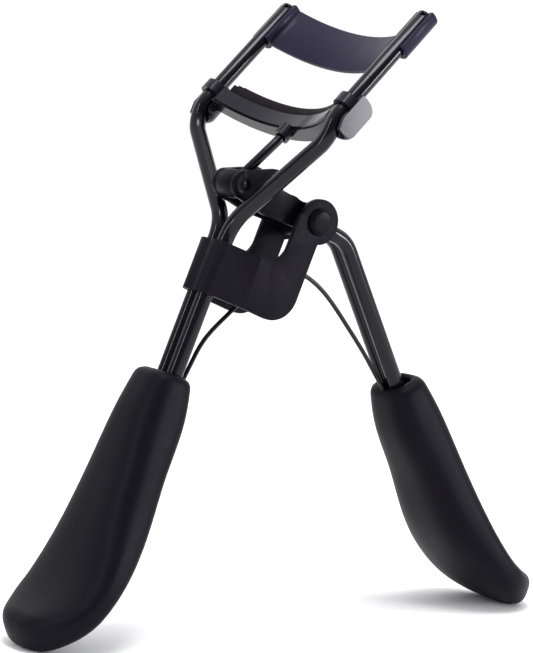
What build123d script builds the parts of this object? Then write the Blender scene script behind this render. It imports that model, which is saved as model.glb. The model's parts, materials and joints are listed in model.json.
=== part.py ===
from build123d import *
import os
from math import cos, radians, sin, tan

# Eyelash curler, standing open on its two finger grips.
#
# The origin is on the table, at the middle of the stance. +Z is up, +Y runs along the
# hinge axis, and +X points to the moving grip's side. Dimensions are in millimetres
# and degrees. Most pieces are laid out from the lever pivot, in one of three frames:
# the jaw slide, the fixed leg and the moving leg.

# Stance
pivot_x = -0.6
pivot_height = 67.6
slide_lean = 45.0
fixed_leg_lean = 21.15
moving_leg_lean = 27.5

# Wires
rod_r = 1.35
rod_clearance = 0.06
link_r = 0.8
spring_r = 0.38

# Frame rods: the slide line and the fixed leg line, by their distance from the pivot
slide_offset = 18.35
rod_spacing = 36.8
rod_tip = 30.4
leg_offset = 13.75
shoulder_offset = 14.1
shoulder_drop = 3.6
throat_drop = 19.3
shoulder_r = 6.0
bend_r = 5.2
throat_r = 7.0

# Upper blade
jaw_curve_r = 30.0
jaw_apex = -12.2
blade_low = 22.4
blade_high = 30.5
blade_t = 0.8
blade_half_length = 17.6

# Lower jaw: channel, the hooks and loops at its ends, and the pad
channel_low = 7.4
channel_high = 10.3
channel_width = 3.4
channel_wall = 0.5
channel_half_length = 17.0
hook_x = -17.35
hook_y = 19.3
hook_r = 2.8
hook_low = 4.7
hook_high = 11.8
hook_rounding = 1.6
hook_opening = 0.3
hook_side = 20.9
loop_low = 8.7
loop_high = 10.6
loop_wall = 0.65
floor_clearance = 0.45
pad_low = 7.95
pad_high = 12.4
pad_width = 3.5
pad_half_length = 14.9
boss_x = -13.2
boss_r = 1.4
boss_height = 1.7
boss_play = 0.17

# Bracket
sheet_t = 0.9
wrap_high = -9.4
wrap_low = -18.2
ear_inside = 4.1
ear_r = 3.75
ear_bend = -8.35
ear_front = -4.1
ear_back = 1.15
lobe_r = 4.8

# Lever head, pivot and knuckle
pivot_r = 1.3
barrel_r = 2.9
plate_t = 0.95
plate_inside = 2.15
washer_t = 0.4
knuckle_x = -13.9
knuckle_z = -5.8
knuckle_pin_r = 0.9
knuckle_play = 0.7
eye_wall = 0.75
lever_leg_offset = 5.8
lever_bend_r = 5.5

# Grips: the centreline by depth below the mouth and outward bow, then the sections by
# fraction of that line, half thickness and half width
grip_line = [(0, 1.0), (6, 0.8), (16, 1.05), (26, 1.25), (36, 2.8), (44, 6.7), (47.5, 10.0)]
grip_sections = [
    (0.0, 2.7, 3.7),
    (0.012, 3.4, 4.4),
    (0.04, 4.0, 4.9),
    (0.12, 4.65, 5.6),
    (0.32, 4.6, 7.1),
    (0.52, 4.5, 8.75),
    (0.72, 3.55, 10.7),
    (0.81, 3.4, 10.1),
    (0.9, 3.3, 7.9),
    (0.965, 2.7, 5.2),
    (0.995, 1.5, 2.8),
]
fixed_grip_mouth = 32.15
moving_grip_mouth = 34.55
wire_into_grip = 25.0

os.makedirs("parts", exist_ok=True)

pivot = Vector(pivot_x, 0, pivot_height)
Y_AXIS = Vector(0, 1, 0)


def leaning(angle, side=1):
    """The unit vector that leans from +Z by angle, towards +X or, with side -1, towards -X."""
    return Vector(side * sin(radians(angle)), 0, cos(radians(angle)))


def across(direction):
    """The direction in the XZ plane that is square to direction, on its +X side."""
    return Vector(direction.Z, 0, -direction.X)


# Frames seen from the near side: local x to the right, local y up, origin at the pivot
slide_up = leaning(slide_lean)
leg_up = leaning(fixed_leg_lean)
lever_up = leaning(moving_leg_lean, -1)
slide_side = Plane(pivot, x_dir=across(slide_up), z_dir=-Y_AXIS)
leg_side = Plane(pivot, x_dir=across(leg_up), z_dir=-Y_AXIS)
lever_side = Plane(pivot, x_dir=across(lever_up), z_dir=-Y_AXIS)
upright = Plane(pivot, x_dir=Vector(1, 0, 0), z_dir=-Y_AXIS)


def on(frame, x, y, along=0.0):
    """The point at local x and y of a side frame, and at that distance along the hinge axis."""
    return frame.origin + frame.x_dir * x + frame.y_dir * y + Y_AXIS * along


def plan(frame, height):
    """The plane square to a side frame's up direction, with local y along the hinge axis."""
    return Plane(on(frame, 0, height), x_dir=frame.x_dir, z_dir=frame.y_dir)


def turned(radius, start, end, x=0.0, y=0.0, mode=Mode.ADD):
    """Works a cylinder into the active part, between two distances along the hinge axis."""
    with Locations(Plane(on(slide_side, x, y, start), z_dir=Y_AXIS)):
        Cylinder(radius, end - start, align=(Align.CENTER, Align.CENTER, Align.MIN), mode=mode)


def finish(piece, label):
    """Labels a finished piece and writes its file."""
    piece.part.label = label
    export_step(piece.part, f"parts/{label}.step")


knuckle = on(slide_side, knuckle_x, knuckle_z)
slide_rise = slide_lean - fixed_leg_lean
shoulder_height = (slide_offset / cos(radians(slide_rise)) - shoulder_offset) / tan(radians(slide_rise))


# Frame rods -------------------------------------------------------------------


def frame_rod_path(side):
    """The corners of one frame rod, from its tip to its end inside the fixed grip."""
    wide = side * rod_spacing / 2
    narrow = side * (rod_r + 0.01)
    return [
        on(slide_side, -slide_offset, rod_tip, wide),
        on(leg_side, -shoulder_offset, shoulder_height, wide),
        on(leg_side, -shoulder_offset, shoulder_height - shoulder_drop, wide),
        on(leg_side, -leg_offset, shoulder_height - throat_drop, narrow),
        on(leg_side, -leg_offset, -fixed_grip_mouth - wire_into_grip, narrow),
    ]


def frame_rod(side):
    """One wire of the frame: slide, shoulder, throat and leg, with a dimple at its tip."""
    corners = frame_rod_path(side)
    with BuildPart() as rod:
        with BuildLine() as route:
            FilletPolyline(*corners, radius=[shoulder_r, bend_r, throat_r])
        with BuildSketch(Plane(corners[0], z_dir=corners[1] - corners[0])):
            Circle(rod_r)
        sweep(path=route.line)
        fillet(rod.edges().filter_by(GeomType.CIRCLE).group_by(Axis(pivot, slide_up))[-1], 0.5)
        dimple_face = Plane(
            on(slide_side, -slide_offset, rod_tip - 0.9, side * rod_spacing / 2),
            x_dir=slide_up,
            z_dir=-across(slide_up) - Y_AXIS * 0.7,
        )
        with BuildSketch(dimple_face.offset(rod_r - 0.5)):
            Circle(0.42)
        extrude(amount=1.0, mode=Mode.SUBTRACT)
    return rod


frame_rod_near = frame_rod(-1)
frame_rod_far = frame_rod(1)
finish(frame_rod_near, "frame_rod_near")
finish(frame_rod_far, "frame_rod_far")


# Upper blade ------------------------------------------------------------------


def jaw_band(width, half_length):
    """A strip of the jaws' plan curve, in the active sketch, of that width."""
    centre = jaw_apex - jaw_curve_r
    with Locations((centre, 0)):
        Circle(jaw_curve_r + width / 2)
        Circle(jaw_curve_r - width / 2, mode=Mode.SUBTRACT)
    with Locations((centre + jaw_curve_r, 0)):
        Rectangle(jaw_curve_r, 2 * half_length, mode=Mode.INTERSECT)


def at_rods():
    """The two frame rods' places, in a plan of the jaw slide."""
    return Locations((-slide_offset, -rod_spacing / 2), (-slide_offset, rod_spacing / 2))


with BuildPart() as upper_blade:
    with BuildSketch(plan(slide_side, blade_low)):
        jaw_band(blade_t, blade_half_length)
        with at_rods():
            Circle(rod_r + blade_t)
        with Locations((-slide_offset - 2.6, 0)):
            Rectangle(4.0, 2 * rod_spacing, mode=Mode.SUBTRACT)
        with at_rods():
            Circle(rod_r + 0.01, mode=Mode.SUBTRACT)
    extrude(amount=blade_high - blade_low)
finish(upper_blade, "upper_blade")


# Lower jaw --------------------------------------------------------------------


with BuildPart() as end_hooks:
    with BuildSketch(plan(slide_side, hook_low)):
        with Locations((hook_x, -hook_y), (hook_x, hook_y)):
            Circle(hook_r)
    extrude(amount=hook_high - hook_low)
    fillet(end_hooks.edges().filter_by(GeomType.CIRCLE), hook_rounding)

with BuildPart() as jaw_channel:
    with BuildSketch(plan(slide_side, channel_low)):
        jaw_band(channel_width - 1.0, channel_half_length)
    extrude(amount=0.5)
    with BuildSketch(plan(slide_side, channel_low + 0.3)):
        jaw_band(channel_width, channel_half_length)
    extrude(amount=channel_high - channel_low - 0.3)
    with BuildSketch(plan(slide_side, channel_low + channel_wall)):
        jaw_band(channel_width - 2 * channel_wall, channel_half_length - channel_wall)
    extrude(amount=channel_high, mode=Mode.SUBTRACT)
    # A rounded hook goes round the outer side of each rod, and is open on the rod's other side
    add(end_hooks.part)
    with BuildSketch(plan(slide_side, hook_low - 1)):
        with Locations((-slide_offset - hook_opening - 5, 0)):
            Rectangle(10, 3 * rod_spacing)
        with Locations((hook_x, -hook_side - 2), (hook_x, hook_side + 2)):
            Rectangle(20, 4)
    extrude(amount=hook_high, mode=Mode.SUBTRACT)
    with BuildSketch(plan(leg_side, 0)):
        with Locations((-shoulder_offset - hook_opening - 5, 0)):
            Rectangle(10, 3 * rod_spacing)
    extrude(amount=hook_high + hook_low, mode=Mode.SUBTRACT)
    with BuildSketch(plan(slide_side, loop_low)):
        with at_rods():
            Circle(rod_r + rod_clearance + loop_wall)
    extrude(amount=loop_high - loop_low)
    # The rods run through the loops, and pass the lower part with more room where they bend
    with BuildSketch(plan(slide_side, hook_low - 1)):
        with at_rods():
            Circle(rod_r + rod_clearance)
    extrude(amount=hook_high, mode=Mode.SUBTRACT)
    with BuildSketch(plan(slide_side, hook_low - 1)):
        with at_rods():
            Circle(rod_r + floor_clearance)
    extrude(amount=loop_low - hook_low + 0.9, mode=Mode.SUBTRACT)
    for side in (-1, 1):
        with Locations(Plane(frame_rod_path(side)[1], z_dir=-leg_up)):
            Cylinder(
                rod_r + floor_clearance,
                8.0,
                align=(Align.CENTER, Align.CENTER, Align.MIN),
                mode=Mode.SUBTRACT,
            )
    # A collar under the floor takes the link's upper end
    with BuildSketch(plan(slide_side, channel_low - boss_height)):
        with Locations((boss_x, 0)):
            Circle(boss_r)
    extrude(amount=boss_height + channel_wall)
    with BuildSketch(plan(slide_side, channel_low - boss_height)):
        with Locations((boss_x, 0)):
            Circle(link_r + boss_play)
    extrude(amount=boss_height, mode=Mode.SUBTRACT)
finish(jaw_channel, "jaw_channel")


# Pad --------------------------------------------------------------------------

with BuildPart() as lash_pad:
    with BuildSketch(plan(slide_side, pad_low)):
        jaw_band(channel_width - 2 * channel_wall - 0.1, pad_half_length)
    extrude(amount=channel_high - pad_low)
    for low, high, width, half_length in (
        (channel_high, pad_high - 0.7, pad_width, pad_half_length),
        (pad_high - 0.7, pad_high - 0.3, pad_width - 0.5, pad_half_length - 0.35),
        (pad_high - 0.3, pad_high, pad_width - 1.2, pad_half_length - 0.9),
    ):
        with BuildSketch(plan(slide_side, low)):
            jaw_band(width, half_length)
        extrude(amount=high - low)
finish(lash_pad, "lash_pad")


# Link -------------------------------------------------------------------------

eye_r = knuckle_pin_r + knuckle_play + eye_wall
link_corners = [
    on(slide_side, boss_x, channel_low - 0.3),
    on(slide_side, boss_x, channel_low - boss_height - 1.0),
    on(slide_side, knuckle_x, knuckle_z + eye_r - 0.4),
]

with BuildPart() as link_rod:
    with BuildLine() as link_route:
        FilletPolyline(*link_corners, radius=8)
    with BuildSketch(Plane(link_corners[0], z_dir=-slide_up)):
        Circle(link_r)
    sweep(path=link_route.line)
    turned(eye_r + 0.01, -plate_inside, plate_inside, knuckle_x, knuckle_z, mode=Mode.SUBTRACT)
finish(link_rod, "link_rod")

with BuildPart() as link_eye:
    with BuildSketch(slide_side):
        with Locations((knuckle_x, knuckle_z)):
            Circle(eye_r)
            Circle(knuckle_pin_r + knuckle_play, mode=Mode.SUBTRACT)
    extrude(amount=plate_inside - 0.1, both=True)
finish(link_eye, "link_eye")


# Bracket ----------------------------------------------------------------------

wire_y = rod_r + 0.01
wrap_r = rod_r + sheet_t
ear_outside = ear_inside + sheet_t

with BuildPart() as bracket:
    # The bent sheet, seen along the leg: round the two wires, then opening to the ears
    with BuildSketch(plan(leg_side, wrap_low)):
        with Locations((-leg_offset, -wire_y), (-leg_offset, wire_y)):
            Circle(wrap_r)
        with BuildLine():
            Polyline(
                (-leg_offset, wire_y + wrap_r),
                (ear_bend, ear_outside),
                (ear_bend, -ear_outside),
                (-leg_offset, -wire_y - wrap_r),
                close=True,
            )
        make_face()
        with BuildLine():
            Polyline(
                (-leg_offset, wire_y + rod_r - 0.2),
                (ear_bend, ear_inside),
                (ear_bend, -ear_inside),
                (-leg_offset, -wire_y - rod_r + 0.2),
                close=True,
            )
        make_face(mode=Mode.SUBTRACT)
        with Locations((-leg_offset, -wire_y), (-leg_offset, wire_y)):
            Circle(rod_r + 0.01, mode=Mode.SUBTRACT)
    extrude(amount=wrap_high - wrap_low)
    # The two ears, seen from the side: a lobe, a neck and a round end at the pivot
    with BuildSketch(leg_side) as ears:
        with BuildLine():
            Line((ear_bend, wrap_low), (ear_bend, wrap_high))
            FilletPolyline(
                (ear_bend, wrap_high), (ear_front, wrap_high), (ear_front, 0), radius=3.5
            )
            Line((ear_front, 0), (ear_back, 0))
            FilletPolyline((ear_back, 0), (ear_back, wrap_low), (ear_bend, wrap_low), radius=lobe_r)
        make_face()
        Circle(ear_r)
        Circle(pivot_r + 0.01, mode=Mode.SUBTRACT)
    extrude(amount=ear_outside, both=True)
    with BuildSketch(leg_side):
        with Locations(((ear_bend + ear_r) / 2, (ear_r + wrap_low) / 2)):
            Rectangle(ear_r - ear_bend + 1, ear_r - wrap_low + 1)
    extrude(amount=ear_inside, both=True, mode=Mode.SUBTRACT)
finish(bracket, "bracket")


# Pivot and lever head ---------------------------------------------------------


with BuildPart() as pivot_rivet:
    turned(pivot_r, -ear_outside, ear_outside)
    turned(2.25, -ear_outside - 0.85, -ear_outside)
    turned(2.25, ear_outside, ear_outside + 0.85)
    rims = pivot_rivet.edges().group_by(Axis.Y)
    fillet(rims[0] + rims[-1], 0.7)
finish(pivot_rivet, "pivot_rivet")

washer_outside = ear_inside - 0.05
head_half = washer_outside - washer_t - 0.05
for label, start in (("washer_near", -washer_outside), ("washer_far", washer_outside - washer_t)):
    with BuildPart() as washer:
        turned(barrel_r - 0.3, start, start + washer_t)
        turned(pivot_r + 0.04, start, start + washer_t, mode=Mode.SUBTRACT)
    finish(washer, label)


# Lever ------------------------------------------------------------------------

arm_run = Vector(knuckle_x, knuckle_z).normalized()
corner_reach = 8.92
lever_corner = on(slide_side, -arm_run.X * corner_reach, -arm_run.Y * corner_reach)


def lever_rod(side):
    """One wire of the moving leg, from the barrel to its end inside the moving grip."""
    shift = Y_AXIS * side * wire_y
    start = on(slide_side, -arm_run.X * 2.0, -arm_run.Y * 2.0)
    end = on(lever_side, lever_leg_offset, -moving_grip_mouth - wire_into_grip)
    with BuildPart() as rod:
        with BuildLine() as route:
            FilletPolyline(start + shift, lever_corner + shift, end + shift, radius=lever_bend_r)
        with BuildSketch(Plane(start + shift, z_dir=lever_corner - start)):
            Circle(rod_r)
        sweep(path=route.line)
        turned(barrel_r + 0.01, -head_half, head_half, mode=Mode.SUBTRACT)
    return rod


lever_rod_near = lever_rod(-1)
lever_rod_far = lever_rod(1)
finish(lever_rod_near, "lever_rod_near")
finish(lever_rod_far, "lever_rod_far")

with BuildPart() as lever_barrel:
    turned(barrel_r, -head_half, head_half)
    turned(pivot_r + 0.04, -head_half, head_half, mode=Mode.SUBTRACT)
finish(lever_barrel, "lever_barrel")


def lever_plate(side):
    """One plate of the lever's front arm, from the barrel to the knuckle."""
    with BuildPart() as plate:
        with BuildSketch(slide_side.offset(-side * plate_inside)):
            for circles in (
                ((knuckle_x, knuckle_z, eye_r), (-10.25, -1.5, 2.2)),
                ((knuckle_x, knuckle_z, eye_r), (-8.2, -4.9, 1.5), (0, 0, barrel_r - 0.9)),
            ):
                with BuildSketch(mode=Mode.PRIVATE) as patch:
                    for x, y, radius in circles:
                        with Locations((x, y)):
                            Circle(radius)
                    make_hull()
                add(patch.sketch)
            Circle(barrel_r + 0.01, mode=Mode.SUBTRACT)
            with Locations((knuckle_x, knuckle_z)):
                Circle(knuckle_pin_r + 0.01, mode=Mode.SUBTRACT)
        extrude(amount=-side * plate_t)
    return plate


for label, side in (("lever_plate_near", -1), ("lever_plate_far", 1)):
    plate = lever_plate(side)
    finish(plate, label)

plate_outside = plate_inside + plate_t
with BuildPart() as knuckle_pin:
    turned(knuckle_pin_r, -plate_outside + 0.35, plate_outside, knuckle_x, knuckle_z)
    turned(1.7, plate_outside, plate_outside + 0.8, knuckle_x, knuckle_z)
    fillet(knuckle_pin.edges().group_by(Axis.Y)[-1], 0.55)
finish(knuckle_pin, "knuckle_pin")


# Spring -----------------------------------------------------------------------

spring_corners = [
    on(leg_side, -11.7, -36.0),
    on(leg_side, -10.8, -31.2),
    on(upright, -18.3, -19.9),
    on(upright, -12.6, -14.6),
    on(upright, -7.6, -10.2),
    on(upright, -2.6, -8.4),
    on(upright, 3.2, -10.4),
    on(upright, 10.2, -17.2),
    on(upright, 15.9, -24.1),
    on(lever_side, 3.5, -34.2),
]
with BuildPart() as spring:
    with BuildLine() as spring_route:
        Spline(*spring_corners)
    with BuildSketch(Plane(spring_route.line @ 0, z_dir=spring_route.line % 0)):
        Circle(spring_r)
    sweep(path=spring_route.line)
finish(spring, "spring")


# Grips ------------------------------------------------------------------------


def grip(frame, offset, mouth, outward):
    """One grip on its leg: the bow goes outward, away from the other grip."""
    with BuildPart() as body:
        with BuildLine() as bow:
            Spline(*[on(frame, offset + outward * out, -mouth - depth) for depth, out in grip_line])
        for fraction, half_thickness, half_width in grip_sections:
            run = bow.line % fraction
            with BuildSketch(Plane(bow.line @ fraction, x_dir=across(run), z_dir=run)):
                RectangleRounded(2 * half_thickness, 2 * half_width, 0.9 * half_thickness)
        loft()
        for side in (-1, 1):
            start = on(frame, offset, -mouth + 1, side * wire_y)
            with Locations(Plane(start, z_dir=-frame.y_dir)):
                Cylinder(
                    rod_r + 0.02,
                    wire_into_grip + 1.1,
                    align=(Align.CENTER, Align.CENTER, Align.MIN),
                    mode=Mode.SUBTRACT,
                )
    return body


fixed_grip = grip(leg_side, -leg_offset, fixed_grip_mouth, -1)
with fixed_grip:
    with Locations(Plane(spring_corners[0], z_dir=spring_corners[1] - spring_corners[0])):
        Cylinder(
            spring_r + 0.15,
            8.0,
            align=(Align.CENTER, Align.CENTER, Align.MIN),
            mode=Mode.SUBTRACT,
        )
moving_grip = grip(lever_side, lever_leg_offset, moving_grip_mouth, 1)
finish(fixed_grip, "fixed_grip")
finish(moving_grip, "moving_grip")
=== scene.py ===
import json
import math

import bpy
import numpy as np
from mathutils import Matrix, Vector


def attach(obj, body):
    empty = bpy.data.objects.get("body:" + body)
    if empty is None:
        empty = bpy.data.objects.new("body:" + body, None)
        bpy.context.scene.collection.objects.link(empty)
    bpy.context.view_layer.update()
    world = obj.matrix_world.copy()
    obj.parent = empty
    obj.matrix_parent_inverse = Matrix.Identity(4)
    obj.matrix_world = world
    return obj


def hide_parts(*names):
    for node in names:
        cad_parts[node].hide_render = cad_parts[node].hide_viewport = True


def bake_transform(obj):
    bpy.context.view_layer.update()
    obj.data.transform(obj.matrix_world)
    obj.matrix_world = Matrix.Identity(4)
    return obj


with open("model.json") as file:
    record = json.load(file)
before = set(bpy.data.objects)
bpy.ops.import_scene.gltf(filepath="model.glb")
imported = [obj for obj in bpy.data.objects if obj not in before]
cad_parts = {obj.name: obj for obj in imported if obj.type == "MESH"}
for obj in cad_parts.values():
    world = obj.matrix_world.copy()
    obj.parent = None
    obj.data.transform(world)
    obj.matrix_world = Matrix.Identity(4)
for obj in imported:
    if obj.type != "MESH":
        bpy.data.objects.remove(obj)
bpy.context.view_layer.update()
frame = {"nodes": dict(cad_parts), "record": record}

MM = 0.001
PIVOT = np.array([-0.6, 0.0, 67.6])  # the lever's hinge, in millimetres of the row frame


# ---------------------------------------------------------------- geometry helpers

def unit(v):
    """The vector, one long."""
    v = np.asarray(v, float)
    return v / np.linalg.norm(v)


def leaning(angle, side=1):
    """The unit vector that leans from +Z by angle, towards +X or, with side -1, towards -X."""
    a = math.radians(angle)
    return np.array([side * math.sin(a), 0.0, math.cos(a)])


def across(direction):
    """The direction in the XZ plane that is square to direction, on its +X side."""
    return np.array([direction[2], 0.0, -direction[0]])


LEG, LEVER = leaning(21.15), leaning(27.5, -1)
UP = np.array([0.0, 0.0, 1.0])
Y = np.array([0.0, 1.0, 0.0])


def at(up, x, y, along=0.0):
    """A point of a side frame whose up direction is given, in millimetres of the row frame."""
    return PIVOT + across(up) * x + up * y + Y * along


def cubic(xs, ys, x):
    """A natural cubic spline through the points, at x."""
    xs, ys, x = (np.asarray(a, float) for a in (xs, ys, x))
    n = len(xs)
    h = np.diff(xs)
    m = np.eye(n)
    r = np.zeros((n,) + ys.shape[1:])
    for i in range(1, n - 1):
        m[i, i - 1:i + 2] = h[i - 1], 2 * (h[i - 1] + h[i]), h[i]
        r[i] = 6 * ((ys[i + 1] - ys[i]) / h[i] - (ys[i] - ys[i - 1]) / h[i - 1])
    k = np.linalg.solve(m, r)
    j = np.clip(np.searchsorted(xs, x) - 1, 0, n - 2)
    t, hj = x - xs[j], h[j]
    if ys.ndim > 1:
        t, hj = t[:, None], hj[:, None]
    a = (k[j + 1] - k[j]) / (6 * hj)
    c = (ys[j + 1] - ys[j]) / hj - hj * (2 * k[j] + k[j + 1]) / 6
    return ys[j] + t * (c + t * (k[j] / 2 + t * a))


def curve_through(points, count):
    """Evenly spaced points on a smooth curve through these."""
    p = np.asarray(points, float)
    s = np.r_[0, np.cumsum(np.linalg.norm(np.diff(p, axis=0), axis=1))]
    fine = cubic(s, p, np.linspace(0, s[-1], 600))
    d = np.r_[0, np.cumsum(np.linalg.norm(np.diff(fine, axis=0), axis=1))]
    want = np.linspace(0, d[-1], count)
    return np.stack([np.interp(want, d, fine[:, i]) for i in range(3)], 1)


def mesh_piece(name, verts, faces):
    """An object from vertices in millimetres and faces."""
    mesh = bpy.data.meshes.new(name)
    mesh.from_pydata([tuple(v * MM) for v in np.asarray(verts, float)], [], faces)
    mesh.validate()
    mesh.update()
    for poly in mesh.polygons:
        poly.use_smooth = True
    obj = bpy.data.objects.new(name, mesh)
    bpy.context.scene.collection.objects.link(obj)
    return obj


def skin(name, rings):
    """A closed surface over a row of rings of equal point counts."""
    rings = [np.asarray(r, float) for r in rings]
    n, m = len(rings), len(rings[0])
    verts = list(np.concatenate(rings))
    faces = []
    for i in range(n - 1):
        for j in range(m):
            k = (j + 1) % m
            faces.append((i * m + j, i * m + k, (i + 1) * m + k, (i + 1) * m + j))
    for i, flip in ((0, True), (n - 1, False)):
        verts.append(rings[i].mean(0))
        c = len(verts) - 1
        for j in range(m):
            k = (j + 1) % m
            faces.append((c, i * m + k, i * m + j) if flip else (c, i * m + j, i * m + k))
    return mesh_piece(name, verts, faces)


def tube(name, path, radius, sides=24):
    """A round wire along a path in the plane y = const."""
    path = np.asarray(path, float)
    rings = []
    turn = np.linspace(0, 2 * math.pi, sides, endpoint=False)
    for i, p in enumerate(path):
        run = unit(path[min(i + 1, len(path) - 1)] - path[max(i - 1, 0)])
        side = unit(np.cross(Y, run))
        rings.append(p + radius * (np.cos(turn)[:, None] * side + np.sin(turn)[:, None] * Y))
    return skin(name, rings)


# ---------------------------------------------------------------- materials

def material(name, colour, rough, metal=0.0, coat=0.0, grain=400.0, bump=0.0003, tone=0.25,
             streak=None, rough_spread=0.08, wear=0.0, dust=0.0, coat_rough=0.12, spec=0.5):
    """A procedural finish: base tone with cloudy variation, grain or streaks, and bump."""
    mat = bpy.data.materials.new(name)
    mat.use_nodes = True
    nodes, links = mat.node_tree.nodes, mat.node_tree.links
    bsdf = nodes["Principled BSDF"]
    co = nodes.new("ShaderNodeTexCoord")
    place = nodes.new("ShaderNodeMapping")
    if streak:
        place.inputs["Rotation"].default_value = streak[0]
        place.inputs["Scale"].default_value = streak[1]
    links.new(co.outputs["Object"], place.inputs["Vector"])

    def noise(scale, detail, source, rough=0.55):
        tex = nodes.new("ShaderNodeTexNoise")
        tex.inputs["Scale"].default_value = scale
        tex.inputs["Detail"].default_value = detail
        tex.inputs["Roughness"].default_value = rough
        links.new(source, tex.inputs["Vector"])
        return tex.outputs["Fac"]

    def remap(value, low, high, to_low, to_high):
        node = nodes.new("ShaderNodeMapRange")
        for key, v in (("From Min", low), ("From Max", high), ("To Min", to_low), ("To Max", to_high)):
            node.inputs[key].default_value = v
        links.new(value, node.inputs["Value"])
        return node.outputs["Result"]

    clouds = noise(90.0, 4.0, co.outputs["Object"])
    fine = noise(grain, 6.0, place.outputs["Vector"], 0.65)
    ramp = nodes.new("ShaderNodeValToRGB")
    ramp.color_ramp.elements[0].position = 0.3
    ramp.color_ramp.elements[1].position = 0.72
    ramp.color_ramp.elements[0].color = (*[c * (1 - tone) for c in colour], 1)
    ramp.color_ramp.elements[1].color = (*[c * (1 + tone) for c in colour], 1)
    links.new(clouds, ramp.inputs["Fac"])
    colour_out = ramp.outputs["Color"]
    if wear or dust:
        spots = noise(grain * 0.6, 8.0, co.outputs["Object"], 0.75)
        mask = remap(spots, 0.62, 0.78, 0.0, wear or dust)
        mix = nodes.new("ShaderNodeMix")
        mix.data_type = "RGBA"
        mix.inputs[7].default_value = (*[min(1, c * 2.2 + 0.012) for c in colour], 1)
        links.new(mask, mix.inputs[0])
        links.new(colour_out, mix.inputs[6])
        colour_out = mix.outputs[2]
    links.new(colour_out, bsdf.inputs["Base Color"])
    links.new(remap(fine, 0.25, 0.75, rough - rough_spread, rough + rough_spread), bsdf.inputs["Roughness"])
    bsdf.inputs["Metallic"].default_value = metal
    bsdf.inputs["Specular IOR Level"].default_value = spec
    bsdf.inputs["Specular Tint"].default_value = (0.88, 0.84, 1.0, 1)
    bsdf.inputs["Coat Weight"].default_value = coat
    bsdf.inputs["Coat Roughness"].default_value = coat_rough
    if bump:
        rise = nodes.new("ShaderNodeBump")
        rise.inputs["Strength"].default_value = 0.6
        rise.inputs["Distance"].default_value = bump
        links.new(fine, rise.inputs["Height"])
        links.new(rise.outputs["Normal"], bsdf.inputs["Normal"])
    return mat


ALONG_SLIDE = ((0, math.radians(45), 0), (1.0, 1.0, 0.06))
WIRE = material("wire_gloss", (0.0030, 0.0027, 0.0042), 0.17, spec=0.16, coat=0.16, coat_rough=0.05,
                grain=700, bump=0.00001, tone=0.2, rough_spread=0.04)
BLADE = material("blade_satin", (0.0155, 0.0130, 0.029), 0.42, spec=0.08, coat=0.03, grain=900,
                 bump=0.00002, streak=ALONG_SLIDE, tone=0.07, rough_spread=0.05)
JAW = material("jaw_satin", (0.0055, 0.0048, 0.009), 0.26, spec=0.16, coat=0.16, coat_rough=0.08, grain=600,
               bump=0.000005, tone=0.06, rough_spread=0.03)
SHEET = material("bracket_satin", (0.0050, 0.0046, 0.0068), 0.48, spec=0.06, grain=1500, bump=0.00004,
                 tone=0.1, wear=0.06)
RIVET = material("rivet_satin", (0.0028, 0.0025, 0.0038), 0.42, spec=0.04, grain=900, bump=0.00003,
                 coat=0.03, tone=0.15)
PAD = material("pad_rubber", (0.0055, 0.0036, 0.0046), 0.62, spec=0.08, grain=2200, bump=0.00006, tone=0.2,
               dust=0.08)
GRIP = material("grip_soft", (0.0034, 0.0030, 0.0052), 0.46, spec=0.07, grain=2600, bump=0.00004, tone=0.15,
                dust=0.05)
SPRING = material("spring_black", (0.0045, 0.0042, 0.0052), 0.3, spec=0.2, grain=1200, bump=0.00002,
                  coat=0.1, tone=0.15)

FINISH = {
    "gloss_black_wire": WIRE, "blade_satin": BLADE, "jaw_sheet": JAW, "bracket_sheet": SHEET,
    "rivet_black": RIVET, "lever_black": RIVET, "pad_rubber": PAD, "spring_wire": SPRING,
    "grip_soft": GRIP,
}
SLOT_OF = {s["node"]: s["material_slot"] for s in frame["record"]["subparts"]}


def dress(name, bevel=0.1, sharp=38):
    """A CAD node's finish, with its edges sharper than that angle eased."""
    obj = frame["nodes"][name]
    obj.data.materials.clear()
    obj.data.materials.append(FINISH[SLOT_OF[name]])
    for poly in obj.data.polygons:
        poly.use_smooth = True
    weld = obj.modifiers.new("weld", "WELD")
    weld.merge_threshold = 0.000002
    if bevel:
        ease = obj.modifiers.new("ease", "BEVEL")
        ease.width = bevel * MM
        ease.segments = 2
        ease.limit_method = "ANGLE"
        ease.angle_limit = math.radians(sharp)
        ease.harden_normals = True
    else:
        split = obj.modifiers.new("split", "EDGE_SPLIT")
        split.split_angle = math.radians(35)


for node in frame["nodes"]:
    if node == "jaw_channel":
        dress(node, bevel=0)
    elif node == "bracket":
        dress(node, bevel=0.12, sharp=13)
    else:
        dress(node)


def own(obj, slot_name, body=None):
    """Gives a built piece the finish of a material slot, and the body it moves with."""
    obj.data.materials.append(FINISH[slot_name])
    if body:
        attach(obj, body)
    return obj


# ---------------------------------------------------------------- grips

# The outward bow, half thickness and half width of a grip, by depth below its mouth
GRIP_BOW = ((0, 6, 16, 26, 36, 44, 47.55), (1.0, 0.78, 1.06, 1.24, 2.76, 6.68, 9.99))
GRIP_THICK = ((0, 6, 16, 26, 36, 44, 47.55), (3.6, 4.66, 4.57, 4.53, 3.53, 3.3, 3.3))
GRIP_WIDE = ((0, 6, 16, 26, 36, 42, 47.55), (4.7, 5.61, 7.12, 8.75, 10.7, 10.6, 10.6))
GRIP_LENGTH = 47.55
GRIP_TIP = 8.07  # the length over which the width rounds off at the tip
GRIP_END = 2.2  # the length over which the thickness rounds off there
GRIP_LIP = 1.5  # the length over which the mouth rounds in
GRIP_MOUTH_SIZE = 0.74  # the mouth's size beside the grip's own there


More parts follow.
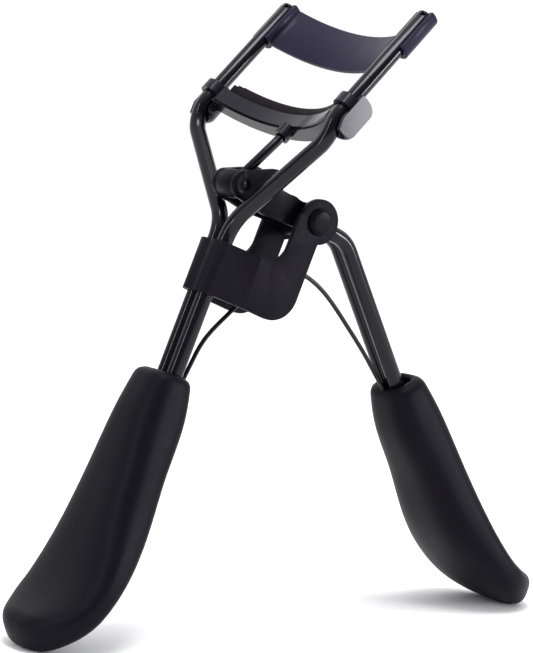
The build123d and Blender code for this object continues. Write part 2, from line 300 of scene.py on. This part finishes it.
def rounded(depth, reach):
    """Falls from 1 to 0 as a quarter circle while depth goes from 0 to reach."""
    return np.sqrt(np.clip(1 - (np.clip(depth, 0, None) / reach) ** 2, 0, 1))


def grip_rings(up, offset, mouth, outward, sides=96):
    """Cross-sections of a grip on its leg, blunt ovals from the mouth to the tip."""
    turn = np.linspace(0, 2 * math.pi, sides, endpoint=False)
    blunt = 2 / 3.0
    cos_t = np.sign(np.cos(turn)) * np.abs(np.cos(turn)) ** blunt
    sin_t = np.sign(np.sin(turn)) * np.abs(np.sin(turn)) ** blunt
    run = np.linspace(0, 1, 90)
    depth = GRIP_LENGTH * np.sin(run * math.pi / 2) ** 1.15
    bow = cubic(*GRIP_BOW, depth)
    slope = np.gradient(bow, depth)
    tip = rounded(depth - (GRIP_LENGTH - GRIP_TIP), GRIP_TIP)
    end = rounded(depth - (GRIP_LENGTH - GRIP_END), GRIP_END)
    lip = GRIP_MOUTH_SIZE + (1 - GRIP_MOUTH_SIZE) * rounded(GRIP_LIP - depth, GRIP_LIP)
    thick = cubic(*GRIP_THICK, depth) * end * lip
    wide = cubic(*GRIP_WIDE, depth) * tip * lip
    rings = []
    for d, b, g, t, w in zip(depth, bow, slope, thick, wide):
        out = unit([-g, 1.0])
        x = (b + out[1] * t * cos_t) * outward
        y = -(d + out[0] * t * cos_t)
        rings.append(np.stack([at(up, offset + xx, -mouth + yy, w * s)
                               for xx, yy, s in zip(x, y, sin_t)]))
    return rings


def grip(name, node, body, up, offset, mouth, outward):
    """One soft grip with a hollow mouth, in place of its CAD node."""
    rings = grip_rings(up, offset, mouth, outward)
    centre = rings[0].mean(0)
    inner = [centre + (rings[0] - centre) * k - up * d for k, d in ((0.72, 3.0), (0.74, 0.5), (0.86, 0.05))]
    piece = skin(name, inner + rings)
    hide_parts(node)
    return own(piece, "grip_soft", body)


grip("grip_fixed_skin", "fixed_grip", "frame", LEG, -13.75, 32.15, -1)
grip("grip_moving_skin", "moving_grip", "lever", LEVER, 5.8, 34.55, 1)


# ---------------------------------------------------------------- spring

spring_line = curve_through([
    at(LEG, -11.7, -36.0), at(LEG, -10.8, -31.2), at(UP, -18.3, -19.9), at(UP, -12.6, -14.6),
    at(UP, -7.6, -10.2), at(UP, -2.6, -8.4), at(UP, 3.2, -10.4), at(UP, 10.2, -17.2),
    at(UP, 15.9, -24.1), at(LEVER, 3.9, -34.2), at(LEVER, 4.7, -37.0)], 160)
SPRING_R = 0.38
spring = tube("bow_spring", spring_line, SPRING_R, 20)
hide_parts("spring")
own(spring, "spring_wire")
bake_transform(spring)


# ---------------------------------------------------------------- stage, light and camera

def plain_material(name, colour, rough):
    """A plain finish with a barely visible cloudiness."""
    mat = bpy.data.materials.new(name)
    mat.use_nodes = True
    nodes, links = mat.node_tree.nodes, mat.node_tree.links
    bsdf = nodes["Principled BSDF"]
    tex = nodes.new("ShaderNodeTexNoise")
    tex.inputs["Scale"].default_value = 14
    ramp = nodes.new("ShaderNodeValToRGB")
    ramp.color_ramp.elements[0].color = (*[c * 0.985 for c in colour], 1)
    ramp.color_ramp.elements[1].color = (*colour, 1)
    links.new(tex.outputs["Fac"], ramp.inputs["Fac"])
    links.new(ramp.outputs["Color"], bsdf.inputs["Base Color"])
    bsdf.inputs["Roughness"].default_value = rough
    return mat


def pale_floor(reach):
    """A plain pale floor, wide enough to run on past the frame."""
    corners = [(-reach, -reach, 0), (reach, -reach, 0), (reach, reach, 0), (-reach, reach, 0)]
    obj = mesh_piece("floor", corners, [(0, 1, 2, 3)])
    obj.data.materials.append(plain_material("floor_pale", (0.93, 0.93, 0.94), 0.75))


pale_floor(40000)


def area(name, place, aim, size, power):
    """A rectangular light that faces a point."""
    data = bpy.data.lights.new(name, "AREA")
    data.shape = "RECTANGLE"
    data.size, data.size_y = size
    data.energy = power
    obj = bpy.data.objects.new(name, data)
    bpy.context.scene.collection.objects.link(obj)
    obj.location = place
    obj.rotation_euler = (Vector(aim) - Vector(place)).to_track_quat("-Z", "Y").to_euler()


CENTRE = (0, 0, 0.05)
area("softbox_top", (-0.1, -0.15, 0.8), CENTRE, (0.3, 0.3), 4)
area("strip_left", (-0.75, -0.05, 0.25), CENTRE, (0.04, 0.8), 3)
area("softbox_right", (0.58, -0.66, 0.16), (0, 0, 0.06), (0.16, 0.26), 4.5)


def studio_world():
    """Bright above and behind the object, dim in front of it, so the black pieces stay dark."""
    world = bpy.data.worlds.new("studio")
    bpy.context.scene.world = world
    world.use_nodes = True
    nodes, links = world.node_tree.nodes, world.node_tree.links
    back = nodes["Background"]
    co = nodes.new("ShaderNodeTexCoord")
    toward = nodes.new("ShaderNodeVectorMath")
    toward.operation = "DOT_PRODUCT"
    toward.inputs[1].default_value = (0.3, 0.42, 0.85)
    ramp = nodes.new("ShaderNodeValToRGB")
    ramp.color_ramp.elements[0].position = 0.0
    ramp.color_ramp.elements[0].color = (0.14, 0.14, 0.16, 1)
    ramp.color_ramp.elements[1].position = 0.85
    ramp.color_ramp.elements[1].color = (1.0, 1.0, 1.0, 1)
    ramp.color_ramp.elements.new(0.48).color = (0.72, 0.72, 0.73, 1)
    links.new(co.outputs["Generated"], toward.inputs[0])
    links.new(toward.outputs["Value"], ramp.inputs["Fac"])
    links.new(ramp.outputs["Color"], back.inputs["Color"])
    back.inputs["Strength"].default_value = 1.45


studio_world()
bpy.context.scene.view_settings.view_transform = "Standard"
bpy.context.scene.view_settings.look = "None"

camera_data = bpy.data.cameras.new("camera")
camera_data.sensor_fit = "HORIZONTAL"
camera_data.sensor_width = 36
camera_data.lens = 180.76
camera_data.clip_start = 0.01
camera_data.clip_end = 100
camera = bpy.data.objects.new("camera", camera_data)
bpy.context.scene.collection.objects.link(camera)
RIGHT = np.array([0.8117, -0.5810, 0.0603])  # the camera's own axes, and its place
TOP = np.array([0.0185, 0.1288, 0.9915])
VIEW = np.array([0.5838, 0.8037, -0.1153])
spot = (PIVOT + np.array([-261.88, -352.5, 32.91])) * MM
rows = [[RIGHT[i], TOP[i], -VIEW[i], spot[i]] for i in range(3)]
camera.matrix_world = Matrix(rows + [[0, 0, 0, 1]])
bpy.context.scene.camera = camera
